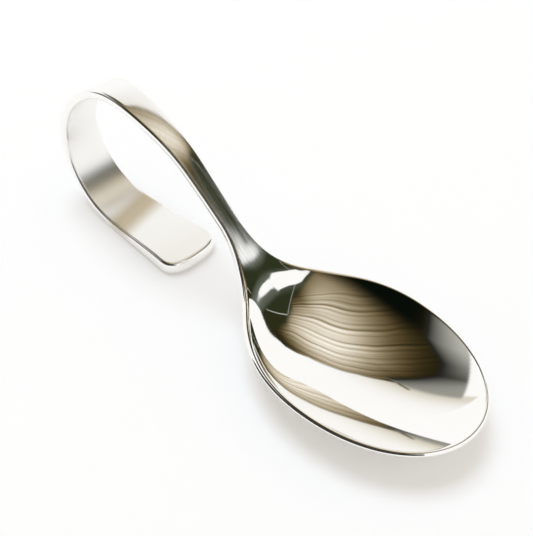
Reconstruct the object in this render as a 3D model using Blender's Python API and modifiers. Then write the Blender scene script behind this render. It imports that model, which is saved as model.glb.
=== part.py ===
# Amuse-bouche spoon: one stainless blank pressed into an oval bowl, with the
# handle drawn to a slim neck and curled over into a loop that ends in a flat foot.
# Metres, +Z up, X from handle to bowl tip, the table at Z = 0.
import math

import bmesh
import bpy
import numpy as np

OBJECT_NAME = "amuse_bouche_spoon"
PIECE_NAME = "spoon"

# Bowl
BOWL_WIDTH = 0.0400  # between the inner rim edges at the widest line
TIP_REACH = 0.0295  # widest line to the inner rim edge at the tip
TIP_FULLNESS = 2.05  # outline exponent of the tip, 2 is a plain ellipse
HOLLOW_REACH = 0.0280  # widest line to the end of the hollow at the neck
HOLLOW_BLEND = 0.0030  # softness of the edge where the hollow meets the neck
RIM_HEIGHT = 0.0107  # rim above the table
BOWL_GAUGE = 0.0016  # sheet thickness at the middle of the bowl
RIM_GAUGE = 0.0011  # sheet thickness at the ground rim

# Shoulder and neck, set back from the widest line along the rim
SHOULDER_SETBACK = 0.0231  # steepest place of the shoulder
SHOULDER_WIDTH = 0.0205
SHOULDER_FLARE = 0.92  # half-width lost per length at the shoulder
NECK_SETBACK = 0.0433  # narrowest place
NECK_WIDTH = 0.0055
NECK_GAUGE = 0.0032
NECK_CROWN = 0.0004  # rounding of the top of the neck
NECK_THINNING = 0.25  # share of the neck's thickness lost at its edges

# Handle, curled over into the loop
BEND_SETBACK = 0.0163  # where the rim line starts to rise toward the handle
BEND_RADIUS = 0.0278
RISE_ANGLE = math.radians(41.2)
CREST_RADIUS = 0.0327
UPPER_RADIUS = 0.0235  # outside of the curl, from the crest backward
LOWER_RADIUS = 0.0181  # outside of the curl, down to the foot
CHANGE_ANGLE = math.radians(71.5)  # fall of the curl where its radius changes
HANDLE_GAUGE = 0.0024
FLARE_POWER = 1.37  # how late the handle widens toward its end

# Flat foot
FOOT_LENGTH = 0.0266  # flat run from below the curl to the end
FOOT_WIDTH = 0.0160
FOOT_GAUGE = 0.0037
END_REACH = 0.0048  # depth of the rounded end
END_FULLNESS = 2.57  # outline exponent of the rounded end

# Finish
EDGE_ROUND = 0.0004
EDGE_STEPS = 3
EDGE_ANGLE = math.radians(45.0)  # corners sharper than this are rounded
STEEL_COLOR = (0.78, 0.77, 0.74, 1.0)
STEEL_ROUGHNESS = 0.08

# Mesh steps
STEPS_ACROSS = 12
STEPS_TIP = 14
STEPS_BOWL = 12
STEPS_NECK = 14
STEPS_STRAIGHT = 4
STEPS_CREST = 8
STEPS_UPPER = 14
STEPS_LOWER = 16
STEPS_FOOT = 8
STEPS_END = 5
COLUMN_GATHER = 0.2  # how far the columns draw in from the edges at the neck
GATHER_POWER = 6.0

# Derived sizes
BEND_RISE = BEND_RADIUS * (1.0 - math.cos(RISE_ANGLE))
CREST_RISE = CREST_RADIUS * (1.0 - math.cos(RISE_ANGLE))
UPPER_FALL = UPPER_RADIUS * (1.0 - math.cos(CHANGE_ANGLE))
LOWER_FALL = LOWER_RADIUS * (1.0 + math.cos(CHANGE_ANGLE))
STRAIGHT_RISE = UPPER_FALL + LOWER_FALL - RIM_HEIGHT - BEND_RISE - CREST_RISE
STRAIGHT_LENGTH = STRAIGHT_RISE / math.sin(RISE_ANGLE)
BEND_END = BEND_SETBACK + BEND_RADIUS * RISE_ANGLE
STRAIGHT_END = BEND_END + STRAIGHT_LENGTH
CREST_END = STRAIGHT_END + CREST_RADIUS * RISE_ANGLE
UPPER_END = CREST_END + UPPER_RADIUS * CHANGE_ANGLE
LOWER_END = UPPER_END + LOWER_RADIUS * (math.pi - CHANGE_ANGLE)
FOOT_END = LOWER_END + FOOT_LENGTH
END_START = FOOT_END - END_REACH
HOLLOW_DEPTH = RIM_HEIGHT - BOWL_GAUGE
THICKEST = max(BOWL_GAUGE, NECK_GAUGE, HANDLE_GAUGE, FOOT_GAUGE)


def clear_scene():
    for item in list(bpy.data.objects):
        bpy.data.objects.remove(item, do_unlink=True)


def make_collection():
    group = bpy.data.collections.new(OBJECT_NAME)
    bpy.context.scene.collection.children.link(group)
    return group


def ease(value, start, stop):
    share = np.clip((value - start) / (stop - start), 0.0, 1.0)
    return share * share * (3.0 - 2.0 * share)


def hermite(run, start, stop, low, high, low_slope, high_slope):
    length = stop - start
    t = (run - start) / length
    rise = t * t * (3.0 - 2.0 * t)
    bulge = t * (1.0 - t) * length
    return low + (high - low) * rise + bulge * (low_slope * (1.0 - t) - high_slope * t)


def spine(run):
    """Edge line of the strip: place and climb angle at each length from the widest line."""
    bends = (
        (BEND_SETBACK, 0.0),
        (BEND_RADIUS * RISE_ANGLE, 1.0 / BEND_RADIUS),
        (STRAIGHT_LENGTH, 0.0),
        (CREST_RADIUS * RISE_ANGLE, -1.0 / CREST_RADIUS),
        (UPPER_RADIUS * CHANGE_ANGLE, -1.0 / UPPER_RADIUS),
        (LOWER_RADIUS * (math.pi - CHANGE_ANGLE), -1.0 / LOWER_RADIUS),
        (FOOT_LENGTH, 0.0),
    )
    x = -np.minimum(run, 0.0)
    z = np.full_like(run, RIM_HEIGHT)
    climb = np.zeros_like(run)
    start = 0.0
    for length, curve in bends:
        along = np.clip(run - start, 0.0, length)
        turned = climb + curve * along
        if curve:
            x = x - (np.sin(turned) - np.sin(climb)) / curve
            z = z - (np.cos(turned) - np.cos(climb)) / curve
        else:
            x = x - np.cos(climb) * along
            z = z + np.sin(climb) * along
        climb = turned
        start = start + length
    return x, z, climb


def half_width(run):
    """Half-width of the strip from the widest line back to the end of the foot."""
    bowl = 0.5 * BOWL_WIDTH
    shoulder = 0.5 * SHOULDER_WIDTH
    neck = 0.5 * NECK_WIDTH
    foot = 0.5 * FOOT_WIDTH
    side = hermite(run, 0.0, SHOULDER_SETBACK, bowl, shoulder, 0.0, -SHOULDER_FLARE)
    shank = hermite(run, SHOULDER_SETBACK, NECK_SETBACK, shoulder, neck, -SHOULDER_FLARE, 0.0)
    share = np.clip((run - NECK_SETBACK) / (END_START - NECK_SETBACK), 0.0, 1.0)
    handle = neck + (foot - neck) * share ** FLARE_POWER
    width = np.where(run < SHOULDER_SETBACK, side, shank)
    return np.where(run < NECK_SETBACK, width, handle)


def hollow(run):
    """Depth of the bowl on its centre line, fading softly into the neck."""
    full = HOLLOW_DEPTH - HOLLOW_BLEND ** 2 / (4.0 * HOLLOW_DEPTH)
    plain = full * (1.0 - (run / HOLLOW_REACH) ** 2)
    return 0.5 * (plain + np.sqrt(plain ** 2 + HOLLOW_BLEND ** 2))


def crown(run):
    """Rounding of the top of the strip, greatest at the neck, gone at the curl."""
    return NECK_CROWN * ease(run, SHOULDER_SETBACK, NECK_SETBACK) * (1.0 - ease(run, STRAIGHT_END, CREST_END))


def gauge(run, edge):
    """Thickness along the strip, with thinner edges at the rim and the neck."""
    neck = ease(run, 0.0, NECK_SETBACK)
    crest = ease(run, NECK_SETBACK, CREST_END)
    foot = ease(run, LOWER_END, END_START)
    thick = BOWL_GAUGE + (NECK_GAUGE - BOWL_GAUGE) * neck
    thick = thick + (HANDLE_GAUGE - NECK_GAUGE) * crest
    thick = thick + (FOOT_GAUGE - HANDLE_GAUGE) * foot
    rim = (1.0 - RIM_GAUGE / BOWL_GAUGE) * (1.0 - neck)
    thin = rim + NECK_THINNING * neck * (1.0 - crest)
    return thick * (1.0 - thin * edge ** 2)


def gather(run, across):
    """Draws the columns toward the middle at the neck, leaving room for its rounded edges."""
    narrow = ease(run, SHOULDER_SETBACK, NECK_SETBACK) * (1.0 - ease(run, NECK_SETBACK, CREST_END))
    return across * (1.0 - COLUMN_GATHER * narrow * (1.0 - np.abs(across) ** GATHER_POWER))


def round_end(along, across, fullness):
    """Squares the grid end onto a rounded outline: forward and sideways shares."""
    forward = along * np.sqrt(1.0 - 0.5 * across ** 2)
    sideways = across * np.sqrt(1.0 - 0.5 * along ** 2)
    radius = np.hypot(forward, sideways)
    safe = np.maximum(radius, np.finfo(float).tiny)
    swell = (forward / safe) ** fullness + (np.abs(sideways) / safe) ** fullness
    swell = np.where(radius > 0.0, swell, 1.0) ** (-1.0 / fullness)
    return forward * swell, sideways * swell, radius


def stations():
    """Row positions along the strip, from the bowl tip to the end of the foot."""
    marks = (
        (-TIP_REACH, 0.0, STEPS_TIP),
        (0.0, SHOULDER_SETBACK, STEPS_BOWL),
        (SHOULDER_SETBACK, NECK_SETBACK, STEPS_NECK),
        (NECK_SETBACK, STRAIGHT_END, STEPS_STRAIGHT),
        (STRAIGHT_END, CREST_END, STEPS_CREST),
        (CREST_END, UPPER_END, STEPS_UPPER),
        (UPPER_END, LOWER_END, STEPS_LOWER),
        (LOWER_END, END_START, STEPS_FOOT),
        (END_START, FOOT_END, STEPS_END),
    )
    rows = [np.linspace(low, high, steps, endpoint=False) for low, high, steps in marks]
    return np.append(np.concatenate(rows), FOOT_END)


def form(run, across):
    """Presses and curls the flat blank: face-side places of the grid and its thickness."""
    across = gather(run, across)
    in_tip = run < 0.0
    in_end = run > END_START
    tip_share = np.clip(-run / TIP_REACH, 0.0, 1.0)
    end_share = np.clip((run - END_START) / END_REACH, 0.0, 1.0)
    tip_x, tip_y, tip_radius = round_end(tip_share, across, TIP_FULLNESS)
    end_x, end_y, _ = round_end(end_share, across, END_FULLNESS)
    place = np.where(in_tip, -tip_x * TIP_REACH, run)
    place = np.where(in_end, END_START + end_x * END_REACH, place)
    side = np.where(in_tip, tip_y * 0.5 * BOWL_WIDTH, across * half_width(np.maximum(run, 0.0)))
    side = np.where(in_end, end_y * 0.5 * FOOT_WIDTH, side)
    arch = 1.0 - across ** 2
    lift = crown(place) * arch - hollow(place) * arch
    lift = np.where(in_tip, -HOLLOW_DEPTH * (1.0 - tip_radius ** 2), lift)
    lift = np.where(place > NECK_SETBACK, crown(place) * arch, lift)
    x, z, climb = spine(place)
    edge = np.where(in_tip, tip_radius, np.abs(across))
    return x + lift * np.sin(climb), side, z + lift * np.cos(climb), gauge(place, edge)


def make_blank():
    """Flat rectangular blank as a grid, rows along the strip and columns across."""
    rows = stations()
    shape = bmesh.new()
    bmesh.ops.create_grid(shape, x_segments=len(rows) - 1, y_segments=STEPS_ACROSS, size=1.0)
    flat = np.array([corner.co[:] for corner in shape.verts])
    index = np.rint(0.5 * (1.0 - flat[:, 0]) * (len(rows) - 1)).astype(int)
    return shape, rows[index], flat[:, 1]


def make_steel():
    steel = bpy.data.materials.new("polished_stainless_steel")
    steel.use_nodes = True
    shader = steel.node_tree.nodes["Principled BSDF"]
    shader.inputs["Base Color"].default_value = STEEL_COLOR
    shader.inputs["Metallic"].default_value = 1.0
    shader.inputs["Roughness"].default_value = STEEL_ROUGHNESS
    return steel


def add_thickness(item, share):
    group = item.vertex_groups.new(name="gauge")
    for index, weight in enumerate(share):
        group.add([index], float(weight), "REPLACE")
    solid = item.modifiers.new("gauge", "SOLIDIFY")
    solid.thickness = THICKEST
    solid.offset = -1.0
    solid.use_quality_normals = True
    solid.vertex_group = group.name
    solid.thickness_vertex_group = 0.0


def round_edges(item):
    bevel = item.modifiers.new("edge_round", "BEVEL")
    bevel.width = EDGE_ROUND
    bevel.segments = EDGE_STEPS
    bevel.limit_method = "ANGLE"
    bevel.angle_limit = EDGE_ANGLE


def centre(item):
    """Sets the middle of the finished length over the origin."""
    bpy.context.view_layer.update()
    finished = item.evaluated_get(bpy.context.evaluated_depsgraph_get())
    ends = [corner[0] for corner in finished.bound_box]
    shift = 0.5 * (min(ends) + max(ends))
    for corner in item.data.vertices:
        corner.co.x -= shift


def make_spoon(group):
    shape, run, across = make_blank()
    x, y, z, thick = form(run, across)
    for corner, place in zip(shape.verts, zip(x, y, z)):
        corner.co = place
    mesh = bpy.data.meshes.new(PIECE_NAME)
    shape.to_mesh(mesh)
    shape.free()
    mesh.shade_smooth()
    mesh.materials.append(make_steel())
    spoon = bpy.data.objects.new(PIECE_NAME, mesh)
    group.objects.link(spoon)
    add_thickness(spoon, thick / THICKEST)
    round_edges(spoon)
    centre(spoon)


clear_scene()
make_spoon(make_collection())
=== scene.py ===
import math

import bpy
import numpy as np
from mathutils import Matrix, Vector


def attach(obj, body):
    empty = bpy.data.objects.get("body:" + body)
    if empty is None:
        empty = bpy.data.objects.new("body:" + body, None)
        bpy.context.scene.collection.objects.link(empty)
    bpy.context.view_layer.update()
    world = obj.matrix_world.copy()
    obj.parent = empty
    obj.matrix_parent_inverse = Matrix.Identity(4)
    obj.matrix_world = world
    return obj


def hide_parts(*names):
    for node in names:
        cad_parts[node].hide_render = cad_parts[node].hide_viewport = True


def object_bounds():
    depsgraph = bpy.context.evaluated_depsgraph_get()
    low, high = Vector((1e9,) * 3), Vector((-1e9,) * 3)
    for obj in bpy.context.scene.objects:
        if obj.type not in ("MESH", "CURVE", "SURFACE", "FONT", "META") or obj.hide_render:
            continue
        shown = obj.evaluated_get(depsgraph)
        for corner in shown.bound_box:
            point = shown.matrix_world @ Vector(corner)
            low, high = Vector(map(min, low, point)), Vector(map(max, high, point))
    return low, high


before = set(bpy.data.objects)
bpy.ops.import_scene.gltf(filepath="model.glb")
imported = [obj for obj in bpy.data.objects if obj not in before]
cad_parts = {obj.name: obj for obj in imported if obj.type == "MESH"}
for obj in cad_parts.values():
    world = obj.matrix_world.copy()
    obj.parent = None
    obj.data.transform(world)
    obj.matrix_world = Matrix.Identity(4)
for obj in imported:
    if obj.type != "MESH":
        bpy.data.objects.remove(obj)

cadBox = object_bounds()  # the solid's own box, which the spoon's skin is fitted inside
mm = 0.001
print("frame loaded:", sorted(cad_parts))


def hexColor(text):
    # sRGB hex to linear light, alpha 1
    srgb = np.array([int(text[i:i + 2], 16) for i in (1, 3, 5)]) / 255.0
    linear = np.where(srgb <= 0.04045, srgb / 12.92, ((srgb + 0.055) / 1.055) ** 2.4)
    return tuple(float(c) for c in linear) + (1.0,)


def addNode(tree, kind, settings=None, links=None):
    # settings: node property or input name/index -> value; links: input name/index -> socket
    # (a colour mix has its two colours at inputs 6 and 7 and its result at output 2)
    node = tree.nodes.new(kind)
    for key, value in (settings or {}).items():
        if isinstance(key, str) and hasattr(node, key):
            setattr(node, key, value)
        else:
            node.inputs[key].default_value = value
    for key, socket in (links or {}).items():
        tree.links.new(socket, node.inputs[key])
    return node


def newMaterial(name):
    material = bpy.data.materials.new(name)
    material.use_nodes = True
    material.node_tree.nodes.clear()
    return material, material.node_tree


def seenShare(tree):
    # 1 for rays from the camera, off the metal and through glass, 0 for the light that falls on things
    ray = addNode(tree, "ShaderNodeLightPath")
    seen = ray.outputs["Is Camera Ray"]
    for kind in ("Is Glossy Ray", "Is Transmission Ray"):
        either = addNode(tree, "ShaderNodeMath", {"operation": "MAXIMUM"}, {0: seen, 1: ray.outputs[kind]})
        seen = either.outputs[0]
    return seen


def pointNumbers(shape, first=0):
    # numbers of a grid's points, row by row
    return np.arange(shape[0] * shape[1]).reshape(shape) + first


def gridFaces(numbers):
    # four corners of every cell of a grid of point numbers
    corners = [numbers[:-1, :-1], numbers[:-1, 1:], numbers[1:, 1:], numbers[1:, :-1]]
    return np.stack(corners, -1).reshape(-1, 4)


def meshObject(name, points, faces, material):
    mesh = bpy.data.meshes.new(name)
    mesh.from_pydata(points.tolist(), [], faces.tolist())
    mesh.shade_smooth()
    mesh.materials.append(material)
    item = bpy.data.objects.new(name, mesh)
    bpy.context.scene.collection.objects.link(item)
    return item


def easeBetween(value, low, high):
    # 0 up to low, 1 from high on, a cubic S between
    share = np.clip((value - low) / (high - low), 0.0, 1.0)
    return share * share * (3.0 - 2.0 * share)


def spanBetween(value, rise, fall):
    # 0, easing up to 1 over the rise, and back to 0 over the fall
    return easeBetween(value, *rise) * (1.0 - easeBetween(value, *fall))


def bell(value, middle, reach):
    # 1 at the middle, falling off evenly to both sides
    return np.exp(-((value - middle) / reach) ** 2)


# the spoon: one strip, pressed into a bowl at one end and curled at the other
spoonForm = {  # millimetres and radians; places along are counted back from the bowl's widest line
    "bowlWidth": 40.0, "tipReach": 29.5, "tipFullness": 2.05,
    "hollowReach": 27.8, "hollowBlend": 1.57,
    "hollowFade": 6.0,  # what is left of the hollow fades over this length before the neck
    "rimHeight": 10.7, "bowlGauge": 1.6, "rimGauge": 1.1,
    "lipFullness": 0.5, "lipStart": 0.4,  # swell of the near wall, from this share of the half width
    "lipSpan": ((0.0, 15.0), (15.0, 25.0)),  # where along the bowl it comes and goes
    "shoulderSetback": 23.1, "shoulderWidth": 20.5, "shoulderFlare": 0.92,
    "neckSetback": 43.3, "neckWidth": 5.5, "neckGauge": 3.2, "neckCrown": 0.6, "neckThinning": 0.25,
    "bendSetback": 16.3, "bendRadius": 27.8, "riseAngle": math.radians(41.2),
    "crestRadius": 32.7, "upperRadius": 23.5, "lowerRadius": 18.1, "changeAngle": math.radians(71.5),
    "bendEase": 4.0,  # half the length over which one bend changes into the next
    "neckLean": math.radians(7.4), "neckLeanAt": 33.1, "neckLeanReach": 3.8,  # steepest behind the bowl
    "crestLean": math.radians(6.0), "crestLeanAt": 78.0,  # uneven hand bend at the crest
    "crestLeanReach": 6.0, "crestLeanGap": 15.6,
    "handleGauge": 2.4, "flarePower": 1.37,
    "handleCrown": 0.10,  # the curl's face is very slightly domed by polishing
    "footLength": 26.6, "footWidth": 16.0, "footGauge": 3.7, "endReach": 4.8, "endFullness": 2.57,
    "rimRound": 0.42, "handleRound": 0.9, "edgeFullness": 2.6,  # rounding of the ground edges
    "roundChange": (8.0, 34.0),  # where the rim's rounding becomes the handle's
    "rowStep": 0.46, "columns": 65, "columnCrowding": 0.9,  # columns lie closer toward the edges
    "edgeSteps": 11, "spineSteps": 8000,
    "middle": 32.829,  # widest line of the bowl, ahead of the middle of the length
}


def cubicRun(run, start, stop, low, high, lowSlope, highSlope):
    # cubic from low to high with the given slopes at its ends
    length = stop - start
    t = (run - start) / length
    bulge = t * (1.0 - t) * length
    return low + (high - low) * t * t * (3.0 - 2.0 * t) + bulge * (lowSlope * (1.0 - t) - highSlope * t)


def stripMarks(form):
    # lengths back from the widest line where each stretch of the strip ends
    rise = form["riseAngle"]
    bendRise = form["bendRadius"] * (1.0 - math.cos(rise))
    crestRise = form["crestRadius"] * (1.0 - math.cos(rise))
    loopHeight = (form["upperRadius"] * (1.0 - math.cos(form["changeAngle"]))
                  + form["lowerRadius"] * (1.0 + math.cos(form["changeAngle"])))
    straight = (loopHeight - form["rimHeight"] - bendRise - crestRise) / math.sin(rise)
    marks = {"bend": form["bendSetback"] + form["bendRadius"] * rise}
    marks["straight"] = marks["bend"] + straight
    marks["crest"] = marks["straight"] + form["crestRadius"] * rise
    marks["upper"] = marks["crest"] + form["upperRadius"] * form["changeAngle"]
    marks["lower"] = marks["upper"] + form["lowerRadius"] * (math.pi - form["changeAngle"])
    marks["foot"] = marks["lower"] + form["footLength"]
    marks["end"] = marks["foot"] - form["endReach"]
    return marks


marks = stripMarks(spoonForm)


def spineTable(form):
    # side view of the strip's edge line: curvature steps, each eased over a few mm, summed to
    # a climb angle, and its cosine and sine summed to a place
    run = np.linspace(0.0, marks["foot"], form["spineSteps"] + 1)
    step = run[1] - run[0]

    def total(value):
        return np.concatenate([[0.0], np.cumsum(0.5 * step * (value[1:] + value[:-1]))])

    changes = (
        (form["bendSetback"], 1.0 / form["bendRadius"]),
        (marks["bend"], -1.0 / form["bendRadius"]),
        (marks["straight"], -1.0 / form["crestRadius"]),
        (marks["crest"], 1.0 / form["crestRadius"] - 1.0 / form["upperRadius"]),
        (marks["upper"], 1.0 / form["upperRadius"] - 1.0 / form["lowerRadius"]),
        (marks["lower"], 1.0 / form["lowerRadius"]),
    )
    ease = form["bendEase"]
    climb = total(sum(size * easeBetween(run, at - ease, at + ease) for at, size in changes))
    climb = climb * -math.pi / climb[-1]  # the strip turns half round in all
    length = np.sum(np.cos(climb)) * step
    # the crest's lean is a wave that ends where it began, the neck's a single swell
    at, reach, gap = form["crestLeanAt"], form["crestLeanReach"], form["crestLeanGap"]
    wave = bell(run, at, reach) - 0.5 * bell(run, at - gap, reach) - 0.5 * bell(run, at + gap, reach)
    climb = climb + form["crestLean"] * wave
    climb = climb + form["neckLean"] * bell(run, form["neckLeanAt"], form["neckLeanReach"])
    x = -total(np.cos(climb))
    z = form["rimHeight"] + total(np.sin(climb))
    # both leave the foot on the table and the length as it was
    share = easeBetween(run, marks["bend"], marks["upper"])
    return run, x - (x[-1] + length) * share, z - z[-1] * share, climb


spineRun, spineX, spineZ, spineClimb = spineTable(spoonForm)


def halfWidth(run, form=spoonForm):
    # bowl to shoulder to neck by two cubics, then widening by a power of the length to the foot
    bowl, shoulder = 0.5 * form["bowlWidth"], 0.5 * form["shoulderWidth"]
    neck, foot = 0.5 * form["neckWidth"], 0.5 * form["footWidth"]
    flare = form["shoulderFlare"]
    side = cubicRun(run, 0.0, form["shoulderSetback"], bowl, shoulder, 0.0, -flare)
    shank = cubicRun(run, form["shoulderSetback"], form["neckSetback"], shoulder, neck, -flare, 0.0)
    share = np.clip((run - form["neckSetback"]) / (marks["end"] - form["neckSetback"]), 0.0, 1.0)
    handle = neck + (foot - neck) * share ** form["flarePower"]
    front = np.where(run < form["shoulderSetback"], side, shank)
    return np.where(run < form["neckSetback"], front, handle)


def stripLift(run, v, form=spoonForm):
    # height of the face over the edge line: crowned neck less the hollow, both 1 - v^2 across
    depth = form["rimHeight"] - form["bowlGauge"]
    full = depth - form["hollowBlend"] ** 2 / (4.0 * depth)
    plain = full * (1.0 - (run / form["hollowReach"]) ** 2)
    hollow = 0.5 * (plain + np.sqrt(plain ** 2 + form["hollowBlend"] ** 2))
    fadeStart = form["neckSetback"] - form["hollowFade"]
    hollow = hollow * (1.0 - easeBetween(run, fadeStart, form["neckSetback"]))
    neck = easeBetween(run, form["shoulderSetback"], form["neckSetback"])
    curl = easeBetween(run, marks["straight"], marks["crest"])
    foot = easeBetween(run, marks["upper"], marks["lower"])
    crown = form["neckCrown"] * neck * (1.0 - curl) + form["handleCrown"] * curl * (1.0 - foot)
    # less the swell of the near wall below its lip; 9.48 brings the swell's peak to 1
    wall = np.clip((-v - form["lipStart"]) / (1.0 - form["lipStart"]), 0.0, 1.0)
    swell = 9.48 * wall ** 3 * (1.0 - wall) * spanBetween(run, *form["lipSpan"])
    return (crown - hollow) * (1.0 - v ** 2) - form["lipFullness"] * swell


def skin(place, side, form=spoonForm):
    # face of the strip at a length behind the widest line (negative: toward the tip) and a
    # distance beside the centre line; the tip half is a paraboloid over its rounded outline
    depth = form["rimHeight"] - form["bowlGauge"]
    power = form["tipFullness"]
    ahead = np.maximum(-place, 0.0) / form["tipReach"]
    beside = np.abs(side) / (0.5 * form["bowlWidth"])
    radius = (ahead ** power + beside ** power) ** (1.0 / power)
    run = np.maximum(place, 0.0)
    v = side / halfWidth(run)
    lift = np.where(place < 0.0, -depth * (1.0 - radius ** 2), stripLift(run, v))
    x = np.interp(run, spineRun, spineX) - np.minimum(place, 0.0)
    z = np.interp(run, spineRun, spineZ)
    climb = np.interp(run, spineRun, spineClimb)
    return np.stack([x + lift * np.sin(climb), side, z + lift * np.cos(climb)], -1)


def skinNormal(place, side, reach=0.02):
    # cross product of the skin's central differences along and across
    along = skin(place + reach, side) - skin(place - reach, side)
    across = skin(place, side + reach) - skin(place, side - reach)
    normal = np.cross(across, along)
    return normal / np.linalg.norm(normal, axis=-1, keepdims=True)


def stripGauge(place, edge, form=spoonForm):
    # thickness eases bowl, neck, handle, foot, and thins toward the rim and the neck's sides
    run = np.maximum(place, 0.0)
    neck = easeBetween(run, 0.0, form["neckSetback"])
    crest = easeBetween(run, form["neckSetback"], marks["crest"])
    foot = easeBetween(run, marks["lower"], marks["end"])
    thick = (form["bowlGauge"]
             + (form["neckGauge"] - form["bowlGauge"]) * neck
             + (form["handleGauge"] - form["neckGauge"]) * crest
             + (form["footGauge"] - form["handleGauge"]) * foot)
    thin = ((1.0 - form["rimGauge"] / form["bowlGauge"]) * (1.0 - neck)
            + form["neckThinning"] * neck * (1.0 - crest))
    return thick * (1.0 - thin * edge ** 2)


def edgeRound(place, form=spoonForm):
    # the rim is ground thin and sharp, the handle's edges are rounder
    change = easeBetween(place, *form["roundChange"])
    return form["rimRound"] + (form["handleRound"] - form["rimRound"]) * change


def roundEnd(along, across, fullness):
    # square end of the grid drawn onto a rounded outline (disc mapping, swelled to a superellipse)
    forward = along * np.sqrt(1.0 - 0.5 * across ** 2)
    sideways = across * np.sqrt(1.0 - 0.5 * along ** 2)
    radius = np.maximum(np.hypot(forward, sideways), 1e-9)
    power = (forward / radius) ** fullness + (np.abs(sideways) / radius) ** fullness
    swell = np.maximum(power, 1e-9) ** (-1.0 / fullness)
    return forward * swell, sideways * swell


def blankPlan(form):
    # grid of lengths and side distances over the flat blank, drawn in by the edge rounding
    tip, end, reach, step = form["tipReach"], marks["end"], form["endReach"], form["rowStep"]
    rows = np.concatenate([
        np.linspace(-tip, 0.0, round(tip / step), endpoint=False),
        np.linspace(0.0, end, round(end / step), endpoint=False),
        np.linspace(end, marks["foot"], round(reach / step) + 1),
    ])
    sweep = form["columnCrowding"] * math.pi
    columns = np.sin(np.linspace(-0.5, 0.5, form["columns"]) * sweep) / math.sin(0.5 * sweep)
    run, across = np.meshgrid(rows, columns, indexing="ij")
    tipX, tipY = roundEnd(np.clip(-run / tip, 0.0, 1.0), across, form["tipFullness"])
    endX, endY = roundEnd(np.clip((run - end) / reach, 0.0, 1.0), across, form["endFullness"])
    inset = edgeRound(run)
    place = np.where(run < 0.0, -tipX * (tip - inset), run)
    place = np.where(run > end, end + endX * (reach - inset), place)
    side = np.where(run < 0.0, tipY * (0.5 * form["bowlWidth"] - inset),
                    across * (halfWidth(np.maximum(run, 0.0)) - inset))
    side = np.where(run > end, endY * (0.5 * form["footWidth"] - inset), side)
    return place, side


def outlineNumbers(numbers):
    # point numbers round the outline of a grid, once, in order
    return np.concatenate([numbers[:-1, -1], numbers[-1, :0:-1], numbers[:0:-1, 0], numbers[0, :-1]])


def edgeBand(rim, normal, gauge, rounding, form):
    # half a superellipse carried round the outline from the face to the back, and its fall as a share
    tangent = np.roll(rim, -1, 0) - np.roll(rim, 1, 0)
    outward = np.cross(tangent, normal)
    outward = outward / np.linalg.norm(outward, axis=-1, keepdims=True)
    turn = np.linspace(0.0, math.pi, form["edgeSteps"] + 1)[1:-1]
    power = 2.0 / form["edgeFullness"]
    bulge = np.sin(turn)[:, None] ** power * rounding[None]
    drop = 0.5 * (1.0 - np.sign(np.cos(turn)) * np.abs(np.cos(turn)) ** power)
    fall = gauge[None] * drop[:, None]
    return rim[None] + outward[None] * bulge[..., None] - normal[None] * fall[..., None], drop


def insideBox(points, box, margin=0.00001):
    # scaled down along the axes where the leans have made it larger than the solid's box, and set in
    # the middle of that box and on its floor
    low, high = np.array(box[0]) + margin, np.array(box[1]) - margin
    lowest, highest = points.min(0), points.max(0)
    share = np.minimum(1.0, (high - low) / (highest - lowest))
    goal = np.array([0.5 * (low[0] + high[0]), 0.5 * (low[1] + high[1]), low[2]])
    anchor = np.array([0.5 * (lowest[0] + highest[0]), 0.5 * (lowest[1] + highest[1]), lowest[2]])
    return goal + (points - anchor) * share


def buildSpoon(form, material):
    # face and back grids joined by the edge band, and for each point its length along, its distance
    # across and its share of the way to the back
    place, side = blankPlan(form)
    face = skin(place, side)
    normal = skinNormal(place, side)
    run = np.maximum(place, 0.0)
    ahead = np.maximum(-place, 0.0) / form["tipReach"]
    edge = np.where(place < 0.0, np.hypot(ahead, side / (0.5 * form["bowlWidth"])),
                    np.abs(side) / halfWidth(run))
    gauge = stripGauge(place, np.clip(edge, 0.0, 1.0))
    back = face - normal * gauge[..., None]
    front = pointNumbers(place.shape)
    loop = outlineNumbers(front)
    band, drop = edgeBand(face.reshape(-1, 3)[loop], normal.reshape(-1, 3)[loop], gauge.ravel()[loop],
                          edgeRound(place.ravel()[loop]), form)
    points = np.concatenate([face.reshape(-1, 3), back.reshape(-1, 3), band.reshape(-1, 3)])
    points[:, 0] += form["middle"]
    # rings of point numbers from the face's outline over the band to the back's, each closed
    count = place.size
    rings = np.concatenate([loop[None], pointNumbers(band.shape[:2], 2 * count), loop[None] + count])
    rings = np.concatenate([rings, rings[:, :1]], 1)
    faces = np.concatenate([gridFaces(front), gridFaces(front + count)[:, ::-1],
                            gridFaces(rings)[:, [0, 3, 2, 1]]])
    spoon = meshObject("spoonSkin", insideBox(points * mm, cadBox), faces, material)
    along = np.concatenate([place.ravel(), place.ravel(), np.tile(place.ravel()[loop], len(drop))])
    across = np.concatenate([side.ravel(), side.ravel(), np.tile(side.ravel()[loop], len(drop))])
    onBack = np.concatenate([np.zeros(count), np.ones(count), np.repeat(drop, len(loop))])
    return spoon, along, across, onBack


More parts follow.
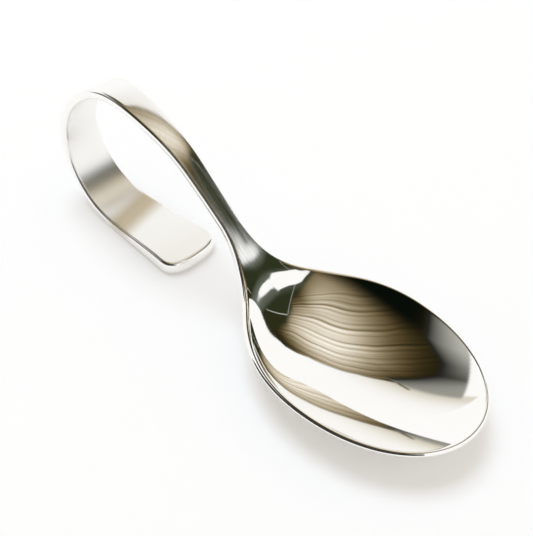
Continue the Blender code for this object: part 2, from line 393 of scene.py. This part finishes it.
# polished stainless steel: stamped, ground and buffed along its length
steelLook = {
    "color": "#fefdfb", "shade": "#faf9f5", "cloudsPerMetre": 90.0,  # warm white, very slightly uneven
    "reflectionTan": "#d2c5ac",  # colour of the painted tan reflection
    "roughness": 0.045, "satinRoughness": 0.32, "brushRoughness": 0.24,
    "lineSpacing": 0.35,  # mm between polishing lines, coarser than real grit so that they show
    "lineStretch": 0.012,  # the lines' spacing as a share of their length
    "lineDepth": 0.02, "lineStrength": 0.6,  # depth in mm
    "brushSpan": ((28.0, 36.0), (92.0, 104.0)),  # hair lines, in mm behind the bowl's widest line
    "brushThin": (50.0, 75.0), "brushThinning": 0.5,  # fewer of them toward the crest
    "footPolish": 0.6, "footPolishAt": (2.0, 12.0),  # less satin on the foot, in mm past the curl
    "reflectionSpan": ((-3.5, 1.5), (3.5, 9.0)), "reflectionSlant": 0.25,  # painted tan reflection, in mm past the curl
}


def polishedSteel(look):
    # a near mirror with hair lines along the neck, satin inside the loop and a painted tan reflection at
    # the bend into the foot
    material, tree = newMaterial("polishedStainlessSteel")
    satin, paintedReflection, brushed = (
        addNode(tree, "ShaderNodeAttribute", {"attribute_name": name}).outputs["Fac"]
        for name in ("satin", "paintedReflection", "brushed"))
    uv = addNode(tree, "ShaderNodeUVMap", {"uv_map": "stripUV"})
    scale = 1.0 / (look["lineSpacing"] * mm)
    stretch = addNode(tree, "ShaderNodeMapping", {"Scale": (scale * look["lineStretch"], scale, 1.0)},
                      {"Vector": uv.outputs[0]})
    lines = addNode(tree, "ShaderNodeTexNoise", {"Scale": 1.0, "Detail": 3.0, "Roughness": 0.6},
                    {"Vector": stretch.outputs[0]})
    place = addNode(tree, "ShaderNodeTexCoord")
    cloud = addNode(tree, "ShaderNodeTexNoise", {"Scale": look["cloudsPerMetre"], "Detail": 2.0},
                    {"Vector": place.outputs["Object"]})
    color = addNode(tree, "ShaderNodeMix",
                    {"data_type": "RGBA", 6: hexColor(look["color"]), 7: hexColor(look["shade"])},
                    {0: cloud.outputs[0]})
    # painted tan reflection mixed into the base colour
    reflectionTan = addNode(tree, "ShaderNodeMix", {"data_type": "RGBA", 7: hexColor(look["reflectionTan"])},
                  {0: paintedReflection, 6: color.outputs[2]})
    brushing = addNode(tree, "ShaderNodeMath", {"operation": "MULTIPLY"},
                       {0: brushed, 1: lines.outputs[0]})
    brushRough = addNode(tree, "ShaderNodeMath",
                         {"operation": "MULTIPLY_ADD", 1: look["brushRoughness"], 2: look["roughness"]},
                         {0: brushing.outputs[0]})
    rough = addNode(tree, "ShaderNodeMath",
                    {"operation": "MULTIPLY_ADD", 1: look["satinRoughness"] - look["roughness"]},
                    {0: satin, 2: brushRough.outputs[0]})
    worn = addNode(tree, "ShaderNodeMath", {"operation": "MAXIMUM"}, {0: satin, 1: brushed})
    depth = addNode(tree, "ShaderNodeMath", {"operation": "MULTIPLY"},
                    {0: worn.outputs[0], 1: lines.outputs[0]})
    bump = addNode(tree, "ShaderNodeBump",
                   {"Strength": look["lineStrength"], "Distance": look["lineDepth"] * mm},
                   {"Height": depth.outputs[0]})
    steel = addNode(tree, "ShaderNodeBsdfPrincipled", {"Metallic": 1.0},
                    {"Base Color": reflectionTan.outputs[2], "Roughness": rough.outputs[0],
                     "Normal": bump.outputs[0]})
    addNode(tree, "ShaderNodeOutputMaterial", {}, {"Surface": steel.outputs[0]})
    return material


def pointValues(mesh, name, values):
    # one number per point, for the steel's nodes
    layer = mesh.attributes.new(name, "FLOAT", "POINT")
    layer.data.foreach_set("value", values)


def markFinish(mesh, along, across, onBack, look):
    # length along and distance across, in metres, for the polishing lines
    corner = np.empty(len(mesh.loops), dtype=np.int32)
    mesh.loops.foreach_get("vertex_index", corner)
    uv = mesh.uv_layers.new(name="stripUV")
    uv.data.foreach_set("uv", np.stack([along, across], -1)[corner].ravel() * mm)
    # the inside of the loop was polished less than the rest, and the foot's top a little more again
    past = along - marks["lower"]
    satin = onBack * easeBetween(along, marks["straight"], marks["crest"])
    polish = look["footPolish"] * easeBetween(past, *look["footPolishAt"])
    pointValues(mesh, "satin", satin * (1.0 - polish))
    # a painted tan reflection on the bend into the foot, slanted across the strip
    slanted = past + look["reflectionSlant"] * across
    pointValues(mesh, "paintedReflection", onBack * spanBetween(slanted, *look["reflectionSpan"]))
    thinning = look["brushThinning"] * easeBetween(along, *look["brushThin"])
    pointValues(mesh, "brushed", spanBetween(along, *look["brushSpan"]) * (1.0 - thinning))


spoon, along, across, onBack = buildSpoon(spoonForm, polishedSteel(steelLook))
markFinish(spoon.data, along, across, onBack, steelLook)
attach(spoon, "root")
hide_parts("spoon")
print("spoon skin:", len(spoon.data.polygons), "faces")

# white table top, its own light share keeping the shadow faint
tableLook = {"size": 6.0, "color": "#ffffff", "shade": "#fefefd", "grainPerMetre": 40.0, "glow": 0.15}


def whiteTable(look):
    # matt white laminate, bright in the view and in the metal, still taking a soft shadow
    material, tree = newMaterial("whiteLaminate")
    place = addNode(tree, "ShaderNodeTexCoord")
    grain = addNode(tree, "ShaderNodeTexNoise", {"Scale": look["grainPerMetre"], "Detail": 3.0},
                    {"Vector": place.outputs["Object"]})
    color = addNode(tree, "ShaderNodeMix",
                    {"data_type": "RGBA", 6: hexColor(look["color"]), 7: hexColor(look["shade"])},
                    {0: grain.outputs[0]})
    matt = addNode(tree, "ShaderNodeBsdfDiffuse", {}, {"Color": color.outputs[2]})
    glow = addNode(tree, "ShaderNodeEmission", {"Color": (1.0, 1.0, 1.0, 1.0), "Strength": 1.0})
    share = addNode(tree, "ShaderNodeMath", {"operation": "MULTIPLY", 1: look["glow"]},
                    {0: seenShare(tree)})
    both = addNode(tree, "ShaderNodeMixShader", {},
                   {0: share.outputs[0], 1: matt.outputs[0], 2: glow.outputs[0]})
    addNode(tree, "ShaderNodeOutputMaterial", {}, {"Surface": both.outputs[0]})
    half = 0.5 * look["size"]
    corners = np.array([[-half, -half, 0.0], [half, -half, 0.0], [-half, half, 0.0], [half, half, 0.0]])
    table = meshObject("table", corners, np.array([[0, 1, 3, 2]]), material)


whiteTable(tableLook)
print("table laid")

# overhead studio card, seen only in the metal: a tan slatted field among dark fields in a white room
cardLook = {
    "height": 3.0,  # metres over the table; all places below are shares of this height
    "acrossSteps": ((-1.9, -0.95, 0.03), (-0.95, 1.1, 0.0085), (1.1, 1.9, 0.02)),  # from, to, step
    "alongSteps": ((-1.4, -0.6, 0.03), (-0.6, 1.0, 0.0085), (1.0, 2.4, 0.02), (2.4, 4.7, 0.1)),
    "white": "#ffffff", "cream": "#ece4d6",  # paper, and the slats at their brightest
    "warmth": (0.88, 1.0, 1.27),  # powers of the slats' light by channel: browner where darker
    "olive": "#2c2e1a", "green": "#2d331f", "pale": "#7c8278", "black": "#080d08", "line": "#3a2914",
    # sides of the dark field, of the slats in it and of the pale arc, as (y, x) corners
    "leftSide": ((0.29, -0.72), (0.39, -0.58), (0.58, -0.4), (0.85, -0.25), (1.2, -0.12), (1.88, -0.03),
                 (2.0, 0.15), (2.12, 0.38), (2.33, 0.72), (2.76, 1.21), (4.6, 2.4)),
    "rightSide": ((-0.75, 1.27), (-0.45, 1.08), (-0.3, 1.02), (-0.15, 0.95), (0.0, 0.97), (0.2, 1.05),
                  (0.52, 1.15), (0.68, 1.18), (0.85, 1.38), (1.08, 1.43), (2.44, 1.4), (4.6, 1.6)),
    "slatSide": ((-0.8, 1.15), (-0.11, 0.82), (0.34, 0.7), (0.46, 0.5), (0.94, 0.28), (1.4, 0.28)),
    "slatEnd": ((-0.9, -0.62), (-0.6, -0.65), (-0.33, -0.95), (-0.11, -1.0), (0.15, -0.72),
                (0.45, -0.42)),
    "arcSide": ((0.0, 1.0), (0.2, 0.83), (0.45, 0.62), (0.69, 0.45)),
    "arcSpan": ((0.0, 0.05), (0.67, 0.69)), "arcWidth": 0.008, "arcLight": 0.5,
    "seamFoot": (0.45, 0.71), "seamTop": (1.35, 2.64),  # pale seam between the two dark fields, (x, y)
    "seamSpan": ((0.70, 0.72), (1.75, 1.95)), "seamWidth": 0.009, "seamLight": 0.75,
    # softness of the dark field's sides: plain, at the slats' end, and more in the right side's middle
    "crisp": 0.010, "endSoft": 0.05, "rightSoft": 0.05, "rightSoftSpan": ((0.55, 0.7), (0.9, 1.05)),
    "sideStart": 0.3, "fieldLow": (-1.3, -1.05),  # y where the left side starts, and the low limit
    "slatSoft": 0.11, "slatCover": 0.6, "slatLimit": 1.2,
    # bell of the slats' light: it drifts to the right and widens toward the low end
    "slatMiddle": 0.4, "slatBelow": 0.8, "slatAbove": 0.65,
    "slatDrift": 0.42, "driftStart": 0.1, "driftLength": 0.55, "driftLimit": 1.5, "driftPower": 1.2,
    "slatSpread": 0.38, "slatWiden": 0.45, "widenStart": 0.15,
    "ringMiddle": (-2.6, 2.0),  # the slats' joints are wide arcs round this place
    "waves": ((0.010, 16.0, 4.0), (0.005, 43.0, 11.0)),  # size, and radians per turn and per radius
    "joints": (2.48, 2.57, 2.65, 2.76, 2.866, 2.95, 3.07, 3.135, 3.19, 3.255, 3.325, 3.39, 3.50, 3.555,
               3.63, 3.74),
    "jointDepth": (0.3, 0.4, 0.5, 0.4, 0.25, 0.5, 0.35, 0.75, 0.2, 0.25, 0.6, 0.2, 0.55, 0.7, 0.3, 0.4),
    "jointDark": 1.3, "jointWidth": 0.013,
    "rimLight": 0.8, "rimWidth": 0.017, "rimGap": 0.036,  # bright rim inside each joint
    "coarseHairs": 150.0, "fineHairs": 310.0, "fineShare": 0.7,  # hair lines, in radians per radius
    "hairDepth": 0.10, "shadeLeast": 0.05,
    # grey left end: its light beside the slats, and the light gained, its rate and the rate's growth
    "endDark": 0.018, "endLow": (0.85, 0.22, 2.6), "endHigh": (0.30, 0.85, 16.0),
    "endGap": 0.04, "endTurn": -0.12, "endBlend": 0.08, "endTint": (1.0, 1.0, 0.86),
    "endCorner": -1.52, "endSlope": -0.42, "endCrisp": 0.012, "endTop": (0.26, 0.40),
    "haze": (0.27, 0.31, 0.40),  # share of each channel that a beige haze takes from the paper
    "hazeLow": (0.2, 0.3), "hazeTop": 0.40, "hazeReach": 0.22,
    "leftHalf": (-0.2, 0.0),  # the grey end and the haze stop here
    "paleRight": 0.25, "paleSide": (-0.28, 0.05), "paleLow": (-0.3, -0.1),  # paler beside the right side
    "paleTop": 0.35, "paleTopX": (0.96, 1.2), "paleTopY": (0.55, 0.8),
    "lineSpan": ((0.29, 0.31), (0.6, 1.4)), "lineWidth": 0.012, "lineDark": 0.85,
    "hookStart": (-0.73, 0.30), "hookSlope": -0.38, "hookWidth": 0.020,
    "hookSpan": ((-0.93, -0.89), (-0.75, -0.7)),
    "duskY": (-0.74, -0.46), "duskX": (-0.95, -0.45),  # black low end on the camera's side
}


def sideX(y, points):
    # x of a side at height y, straight between its corners
    return np.interp(y, [p[0] for p in points], [p[1] for p in points])


def plainColor(shape, text):
    # one colour at every point
    return np.ones(shape + (3,)) * np.array(hexColor(text)[:3])


def mixColor(base, text, share):
    # base carried toward a colour by a share from 0 to 1
    return base + (np.array(hexColor(text)[:3]) - base) * np.clip(share, 0.0, 1.0)[..., None]


def slatLight(x, y, look):
    # a bell along y times a bell along x, which widens and drifts to the right toward the low end
    low = np.clip((look["driftStart"] - y) / look["driftLength"], 0.0, look["driftLimit"])
    middle = look["slatDrift"] * low ** look["driftPower"]
    spread = look["slatSpread"] + look["slatWiden"] * np.maximum(look["widenStart"] - y, 0.0)
    length = np.where(y < look["slatMiddle"], look["slatBelow"], look["slatAbove"])
    return bell(y, look["slatMiddle"], length) * bell(x, middle, spread)


def slatShade(x, y, look):
    # ring = distance from the arcs' middle, a little wavy; each joint is a thin dark line with a
    # bright rim inside it, and hair lines of two sizes run between
    mx, my = look["ringMiddle"]
    plain, turn = np.hypot(x - mx, y - my), np.arctan2(y - my, x - mx)
    ring = plain + sum(size * np.sin(perTurn * turn + perRing * plain)
                       for size, perTurn, perRing in look["waves"])
    shade = np.ones_like(ring)
    for at, depth in zip(look["joints"], look["jointDepth"]):
        fade = depth * (0.75 + 0.25 * np.sin(9.0 * turn + 23.0 * at))  # each joint fades here and there
        shade = shade - look["jointDark"] * fade * bell(ring, at, look["jointWidth"])
        shade = shade + look["rimLight"] * fade * bell(ring, at - look["rimGap"], look["rimWidth"])
    # hair lines, unevenly spaced and not quite along the joints
    hair = np.sin(look["coarseHairs"] * ring + 3.0 * np.sin(21.0 * ring) + 5.0 * turn)
    hair = hair + look["fineShare"] * np.sin(look["fineHairs"] * ring + 9.0 * turn)
    return np.maximum(shade + look["hairDepth"] * hair, look["shadeLeast"])


def gainAway(away, along, gain, rate, growth):
    # light gained with the distance away, at a rate that grows along
    return gain * (1.0 - np.exp(-away * (rate + growth * np.maximum(along, 0.0))))


def leftEnd(x, y, look):
    # grey that lightens away from the slats, fastest toward the low end, and its share of the card
    away = np.maximum(sideX(y, look["slatEnd"]) - look["endGap"] - x, 0.0)
    turn, blend = look["endTurn"], look["endBlend"]
    low = gainAway(away, turn - y, *look["endLow"])
    high = gainAway(away, y - turn, *look["endHigh"])
    light = look["endDark"] + low + (high - low) * easeBetween(y, turn - blend, turn + blend)
    grey = light[..., None] * np.array(look["endTint"]) ** (1.0 - light[..., None])
    limit = look["endCorner"] + look["endSlope"] * y
    share = easeBetween(x - limit, -look["endCrisp"], look["endCrisp"])
    share = share * (1.0 - easeBetween(y, *look["endTop"])) * (1.0 - easeBetween(x, *look["leftHalf"]))
    return grey, share


def darkField(x, y, look):
    # share of the dark field between its two sides
    crisp, endSoft = look["crisp"], look["endSoft"]
    upper = easeBetween(x - sideX(y, look["leftSide"]), -crisp, crisp)
    lower = easeBetween(x - sideX(y, look["slatEnd"]), -endSoft, endSoft)
    soft = crisp + look["rightSoft"] * spanBetween(y, *look["rightSoftSpan"])
    right = easeBetween(sideX(y, look["rightSide"]) - x, -soft, soft)
    return np.where(y > look["sideStart"], upper, lower) * right * easeBetween(y, *look["fieldLow"])


def darkPaint(x, y, beyond, look):
    # green on the near side of the seam and olive beyond it, both paler toward the right
    olive = easeBetween(beyond, -look["crisp"], look["crisp"])
    color = mixColor(plainColor(x.shape, look["green"]), look["olive"], olive)
    side = easeBetween(x - sideX(y, look["rightSide"]), *look["paleSide"])
    side = side * easeBetween(y, *look["paleLow"])
    top = easeBetween(x, *look["paleTopX"]) * easeBetween(y, *look["paleTopY"])
    return mixColor(color, look["pale"], look["paleRight"] * side + look["paleTop"] * top)


def paleSeams(x, y, beyond, look):
    # the straight seam between the dark fields, and the arc in the nearer one
    seam = bell(beyond, 0.0, look["seamWidth"]) * spanBetween(y, *look["seamSpan"])
    arc = bell(x, sideX(y, look["arcSide"]), look["arcWidth"]) * spanBetween(y, *look["arcSpan"])
    return look["seamLight"] * seam + look["arcLight"] * arc


def brownLines(x, y, look):
    # a thin line along the left side, and a short hook before it
    width = look["lineWidth"]
    line = bell(x, sideX(y, look["leftSide"]) - width, width) * spanBetween(y, *look["lineSpan"])
    hx, hy = look["hookStart"]
    hook = bell(y, hy + look["hookSlope"] * (x - hx), look["hookWidth"])
    hook = hook * spanBetween(x, *look["hookSpan"])
    return look["lineDark"] * np.maximum(line, hook)


def cardColors(x, y, look):
    # layers over each other: paper, haze, grey left end, dark field with its slats, pale seams, brown
    # lines, black low end
    haze = np.exp(-np.maximum(y - look["hazeTop"], 0.0) / look["hazeReach"])
    haze = haze * easeBetween(y, *look["hazeLow"]) * (1.0 - easeBetween(x, *look["leftHalf"]))
    color = plainColor(x.shape, look["white"]) * (1.0 - haze[..., None] * np.array(look["haze"]))
    grey, share = leftEnd(x, y, look)
    color = color + (grey - color) * share[..., None]
    # distance past the line through the seam's two ends
    (ax, ay), (bx, by) = look["seamFoot"], look["seamTop"]
    beyond = ((bx - ax) * (y - ay) - (by - ay) * (x - ax)) / math.hypot(bx - ax, by - ay)
    # the slats add their light to the dark paint
    lit = np.minimum(slatLight(x, y, look) * slatShade(x, y, look), look["slatLimit"])
    wood = np.array(hexColor(look["cream"])[:3]) * lit[..., None] ** np.array(look["warmth"])
    slatted = easeBetween(sideX(y, look["slatSide"]) - x, -look["slatSoft"], look["slatSoft"])[..., None]
    painted = darkPaint(x, y, beyond, look) * (1.0 - look["slatCover"] * slatted) + wood * slatted
    field = darkField(x, y, look)
    color = color + (painted - color) * field[..., None]
    color = mixColor(color, look["white"], paleSeams(x, y, beyond, look) * field)
    color = mixColor(color, look["line"], brownLines(x, y, look))
    dusk = (1.0 - easeBetween(y, *look["duskY"])) * easeBetween(x, *look["duskX"])
    return mixColor(color, look["black"], dusk * field)


def reflectOnly(item):
    # seen in the metal, and neither by the camera nor by the table
    item.visible_camera = False
    item.visible_diffuse = False
    item.visible_shadow = False


def cardMaterial(name):
    # paint on board, shown at its own brightness
    material, tree = newMaterial(name)
    paint = addNode(tree, "ShaderNodeAttribute", {"attribute_name": "paint"})
    glow = addNode(tree, "ShaderNodeEmission", {"Strength": 1.0}, {"Color": paint.outputs["Color"]})
    addNode(tree, "ShaderNodeOutputMaterial", {}, {"Surface": glow.outputs[0]})
    return material


def paintedCard(name, points, color, materialName):
    # a grid of points with a colour at each
    faces = gridFaces(pointNumbers(points.shape[:2]))
    card = meshObject(name, points.reshape(-1, 3), faces, cardMaterial(materialName))
    layer = card.data.attributes.new("paint", "FLOAT_COLOR", "POINT")
    layer.data.foreach_set("color", np.concatenate([color, np.ones_like(color[..., :1])], -1).ravel())
    reflectOnly(card)


def overheadCard(look):
    # steps are fine over the slats and wider toward the card's sides
    across, along = (np.concatenate([np.arange(*part) for part in look[key]])
                     for key in ("acrossSteps", "alongSteps"))
    x, y = np.meshgrid(across, along, indexing="ij")
    points = np.stack([x, y, np.ones_like(x)], -1) * look["height"]
    paintedCard("overheadCard", points, cardColors(x, y, look), "paintedStudioCard")


overheadCard(cardLook)
print("overhead card painted")

# low dark flag standing on the camera's side, which draws the dark lines along the near edges
flagLook = {"distance": 0.36, "width": 1.4, "height": 0.30, "columns": 9, "rows": 5,
            "foot": "#0c0b09", "top": "#504d45"}


def darkFlag(look):
    # black cloth, paler toward its top
    across = np.linspace(-0.5, 0.5, look["columns"]) * look["width"]
    x, z = np.meshgrid(across, np.linspace(0.0, look["height"], look["rows"]), indexing="ij")
    points = np.stack([x, np.full_like(x, -look["distance"]), z], -1)
    color = mixColor(plainColor(x.shape, look["foot"]), look["top"], z / look["height"])
    paintedCard("darkFlag", points, color, "blackFlagCloth")


darkFlag(flagLook)
print("dark flag placed")

# plain white room: warm fill from all round, and a large cool soft lamp behind the handle
lightLook = {"fill": (0.73, 0.685, 0.61), "key": (0.70, 0.81, 1.0), "keyPower": 27.0, "keySize": 1.2,
             "keyPlace": (-0.7, 0.2, 2.4)}


def roomLight(look):
    # the camera and the metal see the room as white; the table gets the fill and the lamp
    world = bpy.data.worlds.new("whiteRoom")
    world.use_nodes = True
    tree = world.node_tree
    tree.nodes.clear()
    color = addNode(tree, "ShaderNodeMix",
                    {"data_type": "RGBA", 6: look["fill"] + (1.0,), 7: (1.0, 1.0, 1.0, 1.0)},
                    {0: seenShare(tree)})
    room = addNode(tree, "ShaderNodeBackground", {"Strength": 1.0}, {"Color": color.outputs[2]})
    addNode(tree, "ShaderNodeOutputWorld", {}, {"Surface": room.outputs[0]})
    bpy.context.scene.world = world
    lamp = bpy.data.lights.new("softLamp", "AREA")
    lamp.energy = look["keyPower"]
    lamp.color = look["key"]
    lamp.size = look["keySize"]
    key = bpy.data.objects.new("softLamp", lamp)
    key.location = look["keyPlace"]
    key.rotation_euler = Vector(look["keyPlace"]).to_track_quat("Z", "Y").to_euler()
    key.visible_glossy = False
    bpy.context.scene.collection.objects.link(key)


roomLight(lightLook)
print("room lit")

# camera: looks down on the bowl from the right front
cameraView = {  # focal length and frame in pixels; distance, aim, sensor and nearest depth in millimetres
    "azimuth": math.radians(44.802), "elevation": math.radians(45.28), "focal": 952.037,
    "distance": 200.0, "aim": (32.829, 0.0, 10.7), "aimPixel": (359.157, 349.668),
    "frame": (533.0, 536.0), "sensor": 36.0, "nearest": 5.0,
}


def placeCamera(view):
    # the aim point is seen at its pixel, at the given depth along the view
    turn, tilt = view["azimuth"], view["elevation"]
    back = np.array([math.sin(turn) * math.cos(tilt), -math.cos(turn) * math.cos(tilt), math.sin(tilt)])
    right = np.array([math.cos(turn), math.sin(turn), 0.0])
    up = np.cross(back, right)
    u = (view["aimPixel"][0] - 0.5 * view["frame"][0]) / view["focal"]
    v = (0.5 * view["frame"][1] - view["aimPixel"][1]) / view["focal"]
    spot = (np.array(view["aim"]) - view["distance"] * (u * right + v * up - back)) * mm
    lens = bpy.data.cameras.new("viewCamera")
    lens.sensor_width = view["sensor"]
    lens.lens = view["focal"] * view["sensor"] / max(view["frame"])
    lens.clip_start = view["nearest"] * mm
    camera = bpy.data.objects.new("viewCamera", lens)
    pose = np.eye(4)
    pose[:3] = np.stack([right, up, back, spot], -1)
    camera.matrix_world = Matrix(pose.tolist())
    bpy.context.scene.collection.objects.link(camera)
    bpy.context.scene.camera = camera


placeCamera(cameraView)
bpy.context.scene.view_settings.view_transform = "Standard"
print("camera placed")
